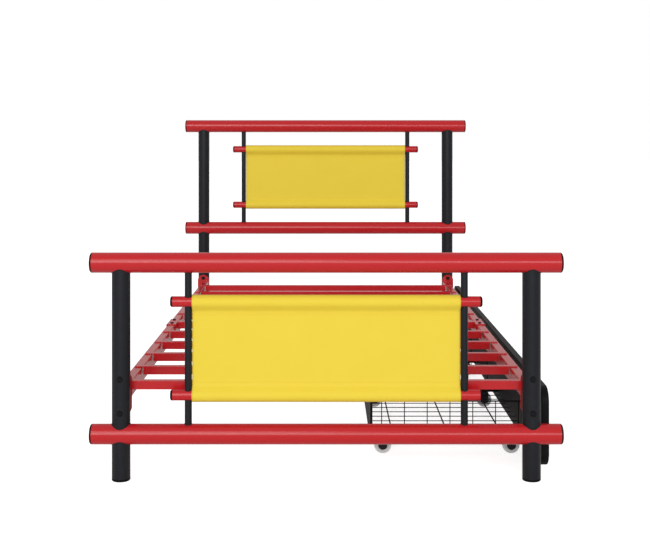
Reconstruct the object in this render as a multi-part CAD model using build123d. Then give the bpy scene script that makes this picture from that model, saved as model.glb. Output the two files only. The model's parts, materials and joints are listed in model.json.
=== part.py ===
"""Kids metal bed: two tubular end frames, a slatted base and two rolling wire drawers.

Millimetres. The origin is on the floor at the middle of the bed. +X points to the side
that the drawers open to, +Y to the head end and +Z up.
"""

import os

from build123d import *

# Fits used all over the bed
weld_gap = 0.1            # between two pieces that are welded or clamped together
hole_clearance = 0.2      # on the radius, round a bolt, a plug or a spindle

# End frames: rails and posts
end_pitch = 1970.0        # foot rail axes to head rail axes
rail_diameter = 50.8
rail_wall = 1.6
rail_overhang = 76.0      # from a post's axis to the tip of a rail's end cap
rail_cap = 5.0
post_diameter = 46.0
post_wall = 1.5
post_x = 513.5            # post axis from the middle of the bed
post_set_back = 3.0       # post axis behind the rail axis, towards the head

# Heights of the rail axes above the floor
foot_lower_rail_z = 115.5
foot_top_rail_z = 544.0
head_middle_rail_z = 465.0
head_top_rail_z = 894.0

# Rods, spindles and fabric between the two rails of an end frame
rod_offset = 97.5         # rod axis from the axis of the rail nearest to it
rod_diameter = 27.0
rod_wall = 1.5
rod_overhang = 44.5       # from a spindle's axis to the tip of a rod's end cap
rod_cap = 5.5
spindle_diameter = 18.0
spindle_wall = 1.2
spindle_x = 345.0
fabric_thickness = 3.5
fabric_clearance = 0.35   # between a rod and the pocket sewn round it
fabric_side_gap = 1.0     # between a spindle and the panel's edge

# Plugs of the end caps and of the floor glides
plug_length = 15.0
glide_height = 6.0
glide_edge = 1.5
cap_chamfer = 2.8         # round the outer face of an end cap

# Side rails and the brackets that bolt them to the posts
side_rail_width = 25.0
side_rail_height = 40.0
side_rail_wall = 1.5
side_rail_corner = 2.5    # outside radius along its edges
side_rail_top_z = 242.0
side_rail_inset = 0.5     # inner face of a side rail, out from a post's inner side
bracket_thickness = 3.0
bracket_post_gap = 0.3
bracket_below_rail = 47.0
bracket_above_rail = 27.0
upper_bolt_inset = 13.0   # from the bracket's top end
lower_bolt_inset = 16.0   # from the bracket's bottom end
bolt_diameter = 8.0
bolt_head_diameter = 15.0
bolt_head_height = 4.5
bolt_head_chamfer = 2.5
nut_flats = 13.0
nut_thickness = 6.5

# Splice sleeves over the joint of the two halves of a side rail
sleeve_length = 110.0
sleeve_thickness = 2.9
sleeve_depth = 36.0
splice_bolt_spacing = 61.0
splice_bolt_diameter = 6.0
splice_head_diameter = 11.0
splice_head_height = 3.0
splice_head_chamfer = 1.8
splice_nut_flats = 10.0
splice_nut_thickness = 5.0

# Slats: inverted channels whose top carries on as a tab over the side rail
slat_width = 20.0
slat_height = 22.0
slat_web = 2.9
slat_leg = 2.0
slat_corner = 1.4         # radius along the edges of its top
slat_tab = 19.5           # how far a tab lies on the rail
slat_end_gap = 3.0        # between the channel's end and the side rail
tabbed_slats = 10
first_tabbed_slat = 194.0  # its foot face, from the foot rail axis
slat_pitch = 177.7
first_slat_gap = 0.7      # between the corner brackets and the slat between the rails

# Centre leg
centre_leg_diameter = 25.4
centre_leg_wall = 1.5
centre_plate_length = 60.0
centre_plate_thickness = 3.0

# Drawer fronts
front_start = 33.0        # foot rail axis to the first drawer front
front_joint = 4.0         # gap between the two fronts
front_height = 202.5
front_floor_gap = 19.5
front_thickness = 19.0
front_post_gap = 8.5      # between the posts and the inner faces of the fronts
front_corner_radius = 40.0
front_edge_radius = 2.0

# Wire basket, measured from its back board towards the front
basket_inside = 421.0     # back board to front board
basket_offset = 173.0     # end of the front board to the first floor wire
back_board_thickness = 6.0
back_board_overhang = 4.0
floor_wire_diameter = 2.5
floor_wire_count = 12
floor_wire_pitch = 52.7
floor_bar_diameter = 4.0
floor_bars = (57.0, 208.0, 355.0)
wall_wire_diameter = 2.6
wall_wire_count = 7
wall_wire_first = 24.5
wall_wire_pitch = 61.0
rim_diameter = 4.0
rim_height = 106.0        # rim axis above the floor wires' axes
board_above_rim = 3.0

# Cross bars and casters
cross_bar_width = 20.0
cross_bar_height = 15.0
wheel_diameter = 46.0
wheel_width = 16.0
wheel_edge = 2.0
wheel_top_gap = 0.5
caster_back = 29.2        # axle from the back board
caster_front = 43.8       # axle from the front board
near_caster_gap = 1.0     # between a fork and the floor wire behind it
far_caster_gap = 5.0
fork_thickness = 2.0
fork_width = 24.5
fork_side_gap = 1.2
axle_diameter = 6.0
axle_clearance = 0.08     # on the radius, between an axle and its wheel
axle_head_thickness = 1.6

# Derived levels and positions
rail_r = rail_diameter / 2
post_r = post_diameter / 2
rod_r = rod_diameter / 2
spindle_r = spindle_diameter / 2
rail_overall = 2 * (post_x + rail_overhang)
rod_overall = 2 * (spindle_x + rod_overhang)
overall_length = rail_r + end_pitch + post_set_back + post_r + weld_gap + bolt_head_height
foot_y = rail_r - overall_length / 2
head_y = foot_y + end_pitch

bracket_foot_face = foot_y + post_set_back + post_r + bracket_post_gap
bracket_head_face = head_y + post_set_back - post_r - bracket_post_gap
side_foot_y = bracket_foot_face + bracket_thickness + weld_gap
side_head_y = bracket_head_face - bracket_thickness - weld_gap
side_inner_x = post_x - post_r + side_rail_inset
side_outer_x = side_inner_x + side_rail_width
side_low_z = side_rail_top_z - side_rail_height
bracket_low_z = side_low_z - bracket_below_rail
bracket_high_z = side_rail_top_z + bracket_above_rail
bolt_levels = (bracket_low_z + lower_bolt_inset, bracket_high_z - upper_bolt_inset)
slat_top_z = side_rail_top_z + weld_gap + slat_web
middle_slat = tabbed_slats // 2 - 1   # the slat that has sleeves instead of tabs
middle_slat_y = foot_y + first_tabbed_slat + middle_slat * slat_pitch
splice_y = middle_slat_y + slat_width / 2

front_length = (end_pitch + post_set_back + post_r - front_start - front_joint) / 2
front_inner_x = post_x + post_r + front_post_gap
back_board_x = front_inner_x - basket_inside
axle_z = wheel_diameter / 2
fork_top_z = wheel_diameter + wheel_top_gap + fork_thickness
cross_bar_z = fork_top_z + weld_gap
floor_bar_z = cross_bar_z - weld_gap - floor_bar_diameter / 2
floor_wire_z = floor_bar_z - floor_bar_diameter / 2 - weld_gap - floor_wire_diameter / 2
rim_z = floor_wire_z + rim_height
fork_half = wheel_width / 2 + fork_side_gap + fork_thickness


def block(x, y, z):
    """A box from three (low, high) pairs."""
    size = [high - low for low, high in (x, y, z)]
    middle = [(high + low) / 2 for low, high in (x, y, z)]
    return Pos(*middle) * Box(*size)


def rod(start, end, radius):
    """A round bar between two points."""
    line = Vector(*end) - Vector(*start)
    place = Plane(origin=start, z_dir=line)
    return place * Cylinder(radius, line.length, align=(Align.CENTER, Align.CENTER, Align.MIN))


def wire(start, end, radius):
    """A thin bar with eight flats, as far across as the round wire that it stands for."""
    line = Vector(*end) - Vector(*start)
    place = Plane(origin=start, z_dir=line)
    section = RegularPolygon(radius, 8, major_radius=False, rotation=180 / 8)
    return place * extrude(section, line.length)


def tube(start, end, radius, wall):
    return rod(start, end, radius) - rod(start, end, radius - wall)


def bore(start, end, radius):
    """A cutter that runs a little past both points."""
    line = (Vector(*end) - Vector(*start)).normalized()
    return rod(tuple(Vector(*start) - line), tuple(Vector(*end) + line), radius)


def save(node, pieces):
    solids = [solid for piece in pieces for solid in piece.solids()]
    shape = solids[0] if len(solids) == 1 else Compound(solids)
    export_step(shape, f"parts/{node}.step")


# End frames


def rail(y, z):
    half = rail_overall / 2 - rail_cap
    return tube((-half, y, z), (half, y, z), rail_r, rail_wall)


def rail_cutter(y, z):
    return rod((-rail_overall, y, z), (rail_overall, y, z), rail_r + weld_gap)


def post(side, y, low_z, high_z):
    """A tube whose ends are cut to a saddle, so that they seat round the rails."""
    x = side * post_x
    axis_y = y + post_set_back
    body = tube((x, axis_y, low_z), (x, axis_y, high_z), post_r, post_wall)
    return body - rail_cutter(y, low_z) - rail_cutter(y, high_z)


def leg(side, y, high_z):
    x = side * post_x
    axis_y = y + post_set_back
    low_z = glide_height + weld_gap
    body = tube((x, axis_y, low_z), (x, axis_y, high_z), post_r, post_wall)
    return body - rail_cutter(y, high_z)


def bolt_cutters(side, y):
    x = side * post_x
    reach = post_diameter + rail_diameter
    radius = bolt_diameter / 2 + hole_clearance
    return [rod((x, y - reach, z), (x, y + reach, z), radius) for z in bolt_levels]


def bolted(piece, side, y):
    for cutter in bolt_cutters(side, y):
        piece = piece - cutter
    return piece


def spindles(y, low_z, high_z):
    pieces = []
    for side in (-1, 1):
        x = side * spindle_x
        body = tube((x, y, low_z), (x, y, high_z), spindle_r, spindle_wall)
        pieces.append(body - rail_cutter(y, low_z) - rail_cutter(y, high_z))
    return pieces


def panel_rod(y, z):
    half = rod_overall / 2 - rod_cap
    body = tube((-half, y, z), (half, y, z), rod_r, rod_wall)
    for side in (-1, 1):
        x = side * spindle_x
        body = body - rod((x, y, z - rod_diameter), (x, y, z + rod_diameter),
                          spindle_r + hole_clearance)
    return body


def fabric_panel(y, low_z, high_z):
    """One cloth with a pocket round each rod and a single web between them."""
    half = spindle_x - spindle_r - fabric_side_gap
    inner_r = rod_r + fabric_clearance
    outer_r = inner_r + fabric_thickness
    web_y = (y - fabric_thickness / 2, y + fabric_thickness / 2)
    cloth = block((-half, half), web_y, (low_z, high_z))
    for z in (low_z, high_z):
        cloth = cloth + rod((-half, y, z), (half, y, z), outer_r)
    for z in (low_z, high_z):
        cloth = cloth - bore((-half, y, z), (half, y, z), inner_r)
    return cloth


def end_caps(overall, radius, wall, cap, y, z):
    """Domed caps with plugs, one in each end of a tube that lies along X."""
    pieces = []
    for side in (-1, 1):
        tip = side * overall / 2
        seat = side * (overall / 2 - cap + weld_gap)
        inner = side * (overall / 2 - cap - plug_length)
        disc = rod((seat, y, z), (tip, y, z), radius)
        rim = disc.edges().filter_by(GeomType.CIRCLE).sort_by(Axis.X)
        disc = chamfer(rim[-1] if side > 0 else rim[0], cap_chamfer)
        pieces.append(disc + rod((inner, y, z), (seat, y, z), radius - wall - hole_clearance))
    return pieces


def glide(x, y, radius, wall):
    disc = rod((x, y, 0), (x, y, glide_height), radius)
    disc = chamfer(disc.edges().filter_by(GeomType.CIRCLE).sort_by(Axis.Z)[0], glide_edge)
    plug_top = glide_height + plug_length
    return disc + rod((x, y, glide_height), (x, y, plug_top), radius - wall - hole_clearance)


# Side rails, brackets and their bolts


def side_rail(side, low_y, high_y, bolt_y):
    x = sorted((side * side_inner_x, side * side_outer_x))
    z = (side_low_z, side_rail_top_z)
    inside_x = (x[0] + side_rail_wall, x[1] - side_rail_wall)
    inside_z = (z[0] + side_rail_wall, z[1] - side_rail_wall)
    body = block(x, (low_y, high_y), z)
    body = fillet(body.edges().filter_by(Axis.Y), side_rail_corner)
    body = body - block(inside_x, (low_y, high_y), inside_z)
    middle = sum(x) / 2
    radius = splice_bolt_diameter / 2 + hole_clearance
    return body - bore((middle, bolt_y, z[0]), (middle, bolt_y, z[1]), radius)


def corner_bracket(side, y_pair, frame_y):
    """A plate with round ends, as wide as the post that it is bolted to."""
    x = side * post_x
    low = bracket_low_z + post_r
    high = bracket_high_z - post_r
    plate = block((x - post_r, x + post_r), y_pair, (low, high))
    for z in (low, high):
        plate = plate + rod((x, y_pair[0], z), (x, y_pair[1], z), post_r)
    return bolted(plate, side, frame_y)


def bolt_with_nut(place, grip, sizes):
    """A bolt and its tightened nut in one; its head seats on the plane and it points to -Z."""
    diameter, head_diameter, head_height, bevel, flats, nut = sizes
    low = (Align.CENTER, Align.CENTER, Align.MIN)
    head = Cylinder(head_diameter / 2, head_height, align=low)
    head = chamfer(head.edges().filter_by(GeomType.CIRCLE).sort_by(Axis.Z)[-1], bevel)
    length = grip + nut + diameter / 4
    shank = Pos(0, 0, -length) * Cylinder(diameter / 2, length, align=low)
    tight_nut = Pos(0, 0, -grip - nut) * extrude(RegularPolygon(flats / 2, 6, major_radius=False), nut)
    return place * (head + shank + tight_nut)


def post_bolts():
    """Bolts with their heads on the outside of each end frame and nuts on the brackets."""
    sizes = (bolt_diameter, bolt_head_diameter, bolt_head_height, bolt_head_chamfer,
             nut_flats, nut_thickness)
    grip = post_diameter + bracket_post_gap + bracket_thickness + 2 * weld_gap
    pieces = []
    for frame_y, out in ((foot_y, -1), (head_y, 1)):
        seat_y = frame_y + post_set_back + out * (post_r + weld_gap)
        for side in (-1, 1):
            for z in bolt_levels:
                place = Plane(origin=(side * post_x, seat_y, z), z_dir=(0, out, 0))
                pieces.append(bolt_with_nut(place, grip, sizes))
    return pieces


def splice_sleeve(side):
    """An inverted channel that clasps both halves of a side rail where they meet."""
    x = sorted((side * side_inner_x, side * side_outer_x))
    top = side_rail_top_z + weld_gap
    y = (splice_y - sleeve_length / 2, splice_y + sleeve_length / 2)
    inner_x = (x[0] - weld_gap, x[1] + weld_gap)
    outer_x = (inner_x[0] - sleeve_thickness, inner_x[1] + sleeve_thickness)
    body = block(outer_x, y, (top - sleeve_depth, top + sleeve_thickness))
    body = fillet(body.edges().filter_by(Axis.Y).sort_by(Axis.Z)[-2:], side_rail_corner)
    body = body - block(inner_x, y, (top - sleeve_depth, top))
    radius = splice_bolt_diameter / 2 + hole_clearance
    for step in (-1, 1):
        bolt_y = splice_y + step * splice_bolt_spacing / 2
        high = top + sleeve_thickness
        body = body - bore((sum(x) / 2, bolt_y, top), (sum(x) / 2, bolt_y, high), radius)
    return body


def splice_bolts():
    sizes = (splice_bolt_diameter, splice_head_diameter, splice_head_height,
             splice_head_chamfer, splice_nut_flats, splice_nut_thickness)
    seat_z = side_rail_top_z + sleeve_thickness + 2 * weld_gap
    grip = seat_z - side_low_z + weld_gap
    pieces = []
    for side in (-1, 1):
        x = side * (side_inner_x + side_outer_x) / 2
        for step in (-1, 1):
            bolt_y = splice_y + step * splice_bolt_spacing / 2
            pieces.append(bolt_with_nut(Plane(origin=(x, bolt_y, seat_z)), grip, sizes))
    return pieces


# Slats and centre leg


def slat(low_y, body_half, tab_half, top_z):
    """A channel, open below, with a tab at each end if tab_half is beyond body_half."""
    y = (low_y, low_y + slat_width)
    web_z = top_z - slat_web
    reach = max(body_half, tab_half)
    body = block((-reach, reach), y, (web_z, top_z))
    body = fillet(body.edges().filter_by(Axis.X).sort_by(Axis.Z)[-2:], slat_corner)
    for leg_y in ((y[0], y[0] + slat_leg), (y[1] - slat_leg, y[1])):
        body = body + block((-body_half, body_half), leg_y, (top_z - slat_height, web_z))
    return body


def slats():
    first_half = side_inner_x - 2 * weld_gap
    first_y = side_foot_y - weld_gap + first_slat_gap
    pieces = [slat(first_y, first_half, 0, side_rail_top_z)]
    for index in range(tabbed_slats):
        low_y = foot_y + first_tabbed_slat + index * slat_pitch
        if index == middle_slat:
            half = side_inner_x - sleeve_thickness - 3 * weld_gap
            pieces.append(slat(low_y, half, 0, slat_top_z))
        else:
            half = side_inner_x - slat_end_gap
            pieces.append(slat(low_y, half, side_inner_x + slat_tab, slat_top_z))
    return pieces


def centre_leg():
    radius = centre_leg_diameter / 2
    top = slat_top_z - slat_height - weld_gap
    plate_low = top - centre_plate_thickness
    half = centre_plate_length / 2
    plate_y = (splice_y - slat_width / 2, splice_y + slat_width / 2)
    plate = block((-half, half), plate_y, (plate_low, top))
    low_z = glide_height + weld_gap
    low = (0, splice_y, low_z)
    return tube(low, (0, splice_y, plate_low), radius, centre_leg_wall) + plate


# Drawers, each built at the distance along the bed where its front begins


def front_board(start_y, rounded_end):
    """A board whose two outer corners are rounded; rounded_end is -1 for the foot end."""
    y = (start_y, start_y + front_length)
    z = (front_floor_gap, front_floor_gap + front_height)
    x = (front_inner_x, front_inner_x + front_thickness)
    board = block(x, y, z)
    ends = board.edges().filter_by(Axis.X).sort_by(Axis.Y)
    board = fillet(ends[:2] if rounded_end < 0 else ends[-2:], front_corner_radius)
    faces = board.faces().sort_by(Axis.X)
    return fillet(faces[-1].edges() + faces[0].edges(), front_edge_radius)


def wire_lines(start_y):
    first = start_y + basket_offset
    return [first + index * floor_wire_pitch for index in range(floor_wire_count)]


def caster_lines(start_y):
    """Where the two cross bars and the axles under them lie along the bed."""
    lines = wire_lines(start_y)
    reach = floor_wire_diameter / 2 + fork_half
    return (lines[1] - reach - near_caster_gap, lines[-1] - reach - far_caster_gap)


def back_board(start_y):
    lines = wire_lines(start_y)
    x = (back_board_x - back_board_thickness, back_board_x)
    y = (lines[0] - back_board_overhang, lines[-1] + back_board_overhang)
    return block(x, y, (floor_wire_z - floor_wire_diameter / 2, rim_z + board_above_rim))


def cross_bars(start_y):
    x = (back_board_x + weld_gap, front_inner_x - weld_gap)
    z = (cross_bar_z, cross_bar_z + cross_bar_height)
    half = cross_bar_width / 2
    return [block(x, (y - half, y + half), z) for y in caster_lines(start_y)]


def basket_floor(start_y):
    """Wires from board to board, hung under three bars that run along the bed."""
    lines = wire_lines(start_y)
    low_x = back_board_x + weld_gap
    high_x = front_inner_x - weld_gap
    radius = floor_wire_diameter / 2
    pieces = [wire((low_x, y, floor_wire_z), (high_x, y, floor_wire_z), radius) for y in lines]
    for offset in floor_bars:
        x = back_board_x + offset
        start = (x, lines[0] - radius, floor_bar_z)
        end = (x, lines[-1] + radius, floor_bar_z)
        pieces.append(wire(start, end, floor_bar_diameter / 2))
    return pieces


def basket_ends(start_y):
    """Upright wires on the outside of the end wires and of the rim."""
    lines = wire_lines(start_y)
    radius = wall_wire_diameter / 2
    reach = floor_wire_diameter / 2 + weld_gap + radius
    pieces = []
    for y in (lines[0] - reach, lines[-1] + reach):
        for index in range(wall_wire_count):
            x = back_board_x + wall_wire_first + index * wall_wire_pitch
            low = (x, y, floor_wire_z - floor_wire_diameter / 2)
            high = (x, y, rim_z + rim_diameter / 2)
            pieces.append(wire(low, high, radius))
    return pieces


def basket_rim(start_y):
    """Four rods: two across the ends and two along the boards."""
    lines = wire_lines(start_y)
    radius = rim_diameter / 2
    shift = radius - floor_wire_diameter / 2
    low_y = lines[0] + shift
    high_y = lines[-1] - shift
    low_x = back_board_x + weld_gap
    high_x = front_inner_x - weld_gap
    pieces = [wire((low_x, y, rim_z), (high_x, y, rim_z), radius) for y in (low_y, high_y)]
    for x in (low_x + radius, high_x - radius):
        start = (x, low_y + radius + weld_gap, rim_z)
        end = (x, high_y - radius - weld_gap, rim_z)
        pieces.append(wire(start, end, radius))
    return pieces


def caster_axes(start_y):
    """The four axle positions of a drawer, back pair last."""
    near, far = caster_lines(start_y)
    front = front_inner_x - caster_front
    back = back_board_x + caster_back
    return [(front, near), (front, far), (back, near), (back, far)]


def caster_fork(x, y):
    """A folded plate with two round-ended cheeks and the axle riveted through them."""
    half = fork_width / 2
    cheek_top = fork_top_z - fork_thickness
    fork = block((x - half, x + half), (y - fork_half, y + fork_half), (cheek_top, fork_top_z))
    for side in (-1, 1):
        span = sorted((y + side * fork_half, y + side * (fork_half - fork_thickness)))
        fork = fork + block((x - half, x + half), span, (axle_z, cheek_top))
        fork = fork + rod((x, span[0], axle_z), (x, span[1], axle_z), half)
    reach = fork_half + axle_head_thickness
    return fork + rod((x, y - reach, axle_z), (x, y + reach, axle_z), axle_diameter / 2)


def wheel(x, y):
    """A wheel with bevelled edges, free on its axle."""
    half = wheel_width / 2
    body = rod((x, y - half, axle_z), (x, y + half, axle_z), wheel_diameter / 2)
    body = chamfer(body.edges().filter_by(GeomType.CIRCLE), wheel_edge)
    return body - bore((x, y - half, axle_z), (x, y + half, axle_z),
                       axle_diameter / 2 + axle_clearance)


def save_drawer(name, start_y, rounded_end):
    save(f"{name}_front_board", [front_board(start_y, rounded_end)])
    save(f"{name}_back_board", [back_board(start_y)])
    save(f"{name}_cross_bars", cross_bars(start_y))
    basket = basket_floor(start_y) + basket_ends(start_y) + basket_rim(start_y)
    save(f"{name}_wire_basket", basket)
    save(f"{name}_caster_forks", [caster_fork(x, y) for x, y in caster_axes(start_y)])
    for index, (x, y) in enumerate(caster_axes(start_y)):
        save(f"{name}_wheel_{index + 1}", [wheel(x, y)])


def save_end_frames():
    frames = (("foot", foot_y, foot_lower_rail_z, foot_top_rail_z, "lower"),
              ("head", head_y, head_middle_rail_z, head_top_rail_z, "middle"))
    caps = []
    rod_caps = []
    for name, y, low_z, high_z, low_name in frames:
        save(f"{name}_top_rail", [rail(y, high_z)])
        save(f"{name}_{low_name}_rail", [rail(y, low_z)])
        legs = [leg(side, y, low_z) for side in (-1, 1)]
        posts = [post(side, y, low_z, high_z) for side in (-1, 1)]
        if name == "foot":
            posts = [bolted(piece, side, y) for piece, side in zip(posts, (-1, 1))]
        else:
            legs = [bolted(piece, side, y) for piece, side in zip(legs, (-1, 1))]
        save(f"{name}_post_left", [posts[0]])
        save(f"{name}_post_right", [posts[1]])
        save(f"{name}_legs", legs)
        save(f"{name}_spindles", spindles(y, low_z, high_z))
        rods = (low_z + rod_offset, high_z - rod_offset)
        save(f"{name}_lower_rod", [panel_rod(y, rods[0])])
        save(f"{name}_upper_rod", [panel_rod(y, rods[1])])
        save(f"{name}_fabric_panel", [fabric_panel(y, *rods)])
        for z in (low_z, high_z):
            caps += end_caps(rail_overall, rail_r, rail_wall, rail_cap, y, z)
        for z in rods:
            rod_caps += end_caps(rod_overall, rod_r, rod_wall, rod_cap, y, z)
    save("rail_end_caps", caps)
    save("rod_end_caps", rod_caps)


def save_base():
    half_bolt = splice_bolt_spacing / 2
    for side, name in ((-1, "left"), (1, "right")):
        foot_half = side_rail(side, side_foot_y, splice_y - weld_gap, splice_y - half_bolt)
        head_half = side_rail(side, splice_y + weld_gap, side_head_y, splice_y + half_bolt)
        save(f"side_rail_{name}_foot", [foot_half])
        save(f"side_rail_{name}_head", [head_half])
    save("splice_sleeves", [splice_sleeve(side) for side in (-1, 1)])
    save("splice_bolts", splice_bolts())
    foot_plate = (bracket_foot_face, bracket_foot_face + bracket_thickness)
    head_plate = (bracket_head_face - bracket_thickness, bracket_head_face)
    brackets = []
    for side in (-1, 1):
        brackets.append(corner_bracket(side, foot_plate, foot_y))
        brackets.append(corner_bracket(side, head_plate, head_y))
    save("corner_brackets", brackets)
    save("post_bolts", post_bolts())
    for index, piece in enumerate(slats()):
        save(f"slat_{index + 1:02d}", [piece])
    save("centre_leg", [centre_leg()])
    glides = [glide(side * post_x, y + post_set_back, post_r, post_wall)
              for side in (-1, 1) for y in (foot_y, head_y)]
    glides.append(glide(0, splice_y, centre_leg_diameter / 2, centre_leg_wall))
    save("floor_glides", glides)


os.makedirs("parts", exist_ok=True)
save_end_frames()
save_base()
first_front = foot_y + front_start
save_drawer("drawer_1", first_front, -1)
save_drawer("drawer_2", first_front + front_length + front_joint, 1)
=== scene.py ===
# %% [markdown]
# # A kids metal bed with rolling drawers
# The bed has two frames of round red and black tube, a deck of red slats between them,
# a stretched yellow cloth in each end frame, and two wire drawers with black fronts.
# The metalwork comes from the CAD model, which this lesson loads as a fixed frame. Here it
# gets its finishes, welds, cloth, stitches, round wires and wheels, and then a studio.

# %% Load the CAD model
import json
import math

import bmesh
import bpy
from mathutils import Matrix, Vector


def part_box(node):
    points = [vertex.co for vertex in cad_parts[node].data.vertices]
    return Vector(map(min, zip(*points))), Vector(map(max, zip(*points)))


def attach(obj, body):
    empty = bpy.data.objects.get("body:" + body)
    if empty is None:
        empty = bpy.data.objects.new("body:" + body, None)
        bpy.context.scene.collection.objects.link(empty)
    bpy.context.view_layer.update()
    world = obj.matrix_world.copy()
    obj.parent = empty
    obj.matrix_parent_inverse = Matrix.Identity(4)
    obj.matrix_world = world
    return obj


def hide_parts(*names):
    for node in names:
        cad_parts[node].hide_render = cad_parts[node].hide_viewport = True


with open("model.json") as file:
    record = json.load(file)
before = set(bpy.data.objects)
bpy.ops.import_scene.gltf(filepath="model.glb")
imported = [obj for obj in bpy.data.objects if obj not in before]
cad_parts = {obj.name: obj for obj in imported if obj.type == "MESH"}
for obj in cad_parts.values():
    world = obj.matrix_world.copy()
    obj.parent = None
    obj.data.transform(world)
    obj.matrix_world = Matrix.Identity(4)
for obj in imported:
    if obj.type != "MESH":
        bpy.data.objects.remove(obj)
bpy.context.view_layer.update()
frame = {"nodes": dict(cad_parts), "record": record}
nodes = frame["nodes"]

# %% [markdown]
# ## Places that are used again and again
# Nothing is typed in twice: rails, rods and posts are read from the boxes of the CAD nodes,
# so a weld or a stitch always lands where the metal is. A round bar along X has its axis at
# the middle of its box, and its radius is half the height of that box.

# %% Read the rails, rods and posts


def axis_of(node):
    """The middle (y, z) and the radius of a round bar that lies along X."""
    low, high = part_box(node)
    return (low.y + high.y) / 2, (low.z + high.z) / 2, (high.z - low.z) / 2


def upright_of(node):
    """The middle (x, y) and the radius of a tube that stands along Z."""
    low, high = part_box(node)
    return (low.x + high.x) / 2, (low.y + high.y) / 2, (high.x - low.x) / 2


foot_y, foot_top_z, rail_radius = axis_of("foot_top_rail")
print(f"foot rail at y {foot_y:.4f}, z {foot_top_z:.4f}, radius {rail_radius:.4f}")
print("right foot post, x, y and radius:", [round(v, 4) for v in upright_of("foot_post_right")])

# %% [markdown]
# ## The camera
# The photograph was taken from low and close, straight at the foot end, with its lines
# running to a point high in the picture. A level camera with a vertical shift gives that:
# the uprights stay parallel, as they do in the photograph.

# %% Set up the camera
PHOTO_WIDTH = 650.0
PHOTO_HEIGHT = 551.0
VANISHING = (324.35, 131.4)   # the point, in pixels, that all lines along Y run to
FOCAL_PIXELS = 1144.0
SENSOR_WIDTH = 36.0
CAMERA_TO_FOOT = 2.86
CAMERA_X = -0.0049
CAMERA_Z = 0.872

camera_data = bpy.data.cameras.new("camera")
camera = bpy.data.objects.new("camera", camera_data)
bpy.context.scene.collection.objects.link(camera)
bpy.context.scene.camera = camera
camera.location = (CAMERA_X, foot_y - CAMERA_TO_FOOT, CAMERA_Z)
camera.rotation_euler = (math.radians(90), 0, 0)
camera_data.sensor_width = SENSOR_WIDTH
camera_data.lens = SENSOR_WIDTH * FOCAL_PIXELS / PHOTO_WIDTH
camera_data.shift_x = (PHOTO_WIDTH / 2 - VANISHING[0]) / PHOTO_WIDTH
camera_data.shift_y = (VANISHING[1] - PHOTO_HEIGHT / 2) / PHOTO_WIDTH
print("lens", round(camera_data.lens, 2), "mm, shift", round(camera_data.shift_y, 4))

# %% [markdown]
# ## Small helpers for node trees
# Both shader trees and geometry trees are lists of nodes with wires between them. A few
# short functions keep the lesson readable. The main one adds a node and fills its inputs, and
# where it is given another node's socket instead of a value, it draws the wire.

# %% Helpers for node trees


def add_node(tree, kind, inputs=None, **settings):
    """Adds a node, sets its own properties, then fills inputs by name or by number."""
    made = tree.nodes.new(kind)
    for name, value in settings.items():
        setattr(made, name, value)
    for name, value in (inputs or {}).items():
        if isinstance(value, bpy.types.NodeSocket):
            tree.links.new(value, made.inputs[name])
        else:
            made.inputs[name].default_value = value
    return made


def srgb(red, green, blue):
    """A colour as seen on screen, 0 to 255, as the linear colour that a shader reads."""
    def linear(value):
        value /= 255.0
        return value / 12.92 if value <= 0.04045 else ((value + 0.055) / 1.055) ** 2.4
    return (linear(red), linear(green), linear(blue), 1.0)


def new_group(name, kind, inputs, outputs):
    """A node group with named sockets; returns the tree and its input and output nodes."""
    tree = bpy.data.node_groups.new(name, kind)
    for socket, socket_kind, default in inputs:
        made = tree.interface.new_socket(socket, in_out="INPUT", socket_type=socket_kind)
        if default is not None:
            made.default_value = default
    for socket, socket_kind in outputs:
        tree.interface.new_socket(socket, in_out="OUTPUT", socket_type=socket_kind)
    return tree, tree.nodes.new("NodeGroupInput"), tree.nodes.new("NodeGroupOutput")


def math_node(tree, operation, *values, clamp=False):
    made = add_node(tree, "ShaderNodeMath", operation=operation, use_clamp=clamp)
    for index, value in enumerate(values):
        if isinstance(value, bpy.types.NodeSocket):
            tree.links.new(value, made.inputs[index])
        else:
            made.inputs[index].default_value = value
    return made.outputs[0]


def mix_colour(tree, amount, first, second, blend="MIX"):
    made = add_node(tree, "ShaderNodeMix", data_type="RGBA", blend_type=blend)
    for index, value in ((0, amount), (6, first), (7, second)):
        if isinstance(value, bpy.types.NodeSocket):
            tree.links.new(value, made.inputs[index])
        else:
            made.inputs[index].default_value = value
    return made.outputs[2]


def spread(tree, mask, low, high):
    """Turns a mask of 0 to 1 into a value that runs from low to high."""
    made = add_node(tree, "ShaderNodeMapRange", {"Value": mask, "To Min": low, "To Max": high})
    return made.outputs["Result"]


def raise_surface(tree, shader, height, strength, distance):
    """Lets a height tilt the shading, as if the surface rose and fell by distance metres."""
    bump = add_node(tree, "ShaderNodeBump",
                    {"Height": height, "Strength": strength, "Distance": distance})
    tree.links.new(bump.outputs["Normal"], shader.inputs["Normal"])


print("helpers ready")

# %% [markdown]
# ## Shared surface effects
# Powder coat is paint that melted on as a dust. It has a very fine ripple called orange peel,
# and handling leaves faint scuffs on it. Both belong to the red and to the black metal, so
# they are shader groups with their own sizes. A group gives out only a height or a mask, and
# the glossy shader itself stays in each material.

# %% The orange peel and scuff groups
SLOW_RIPPLE = 0.11            # scale of the long ripple, as a share of the fine one's
SMEAR = (1.0, 0.35, 1.6)      # scuffs are drawn out along the bed, and short in height


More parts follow.
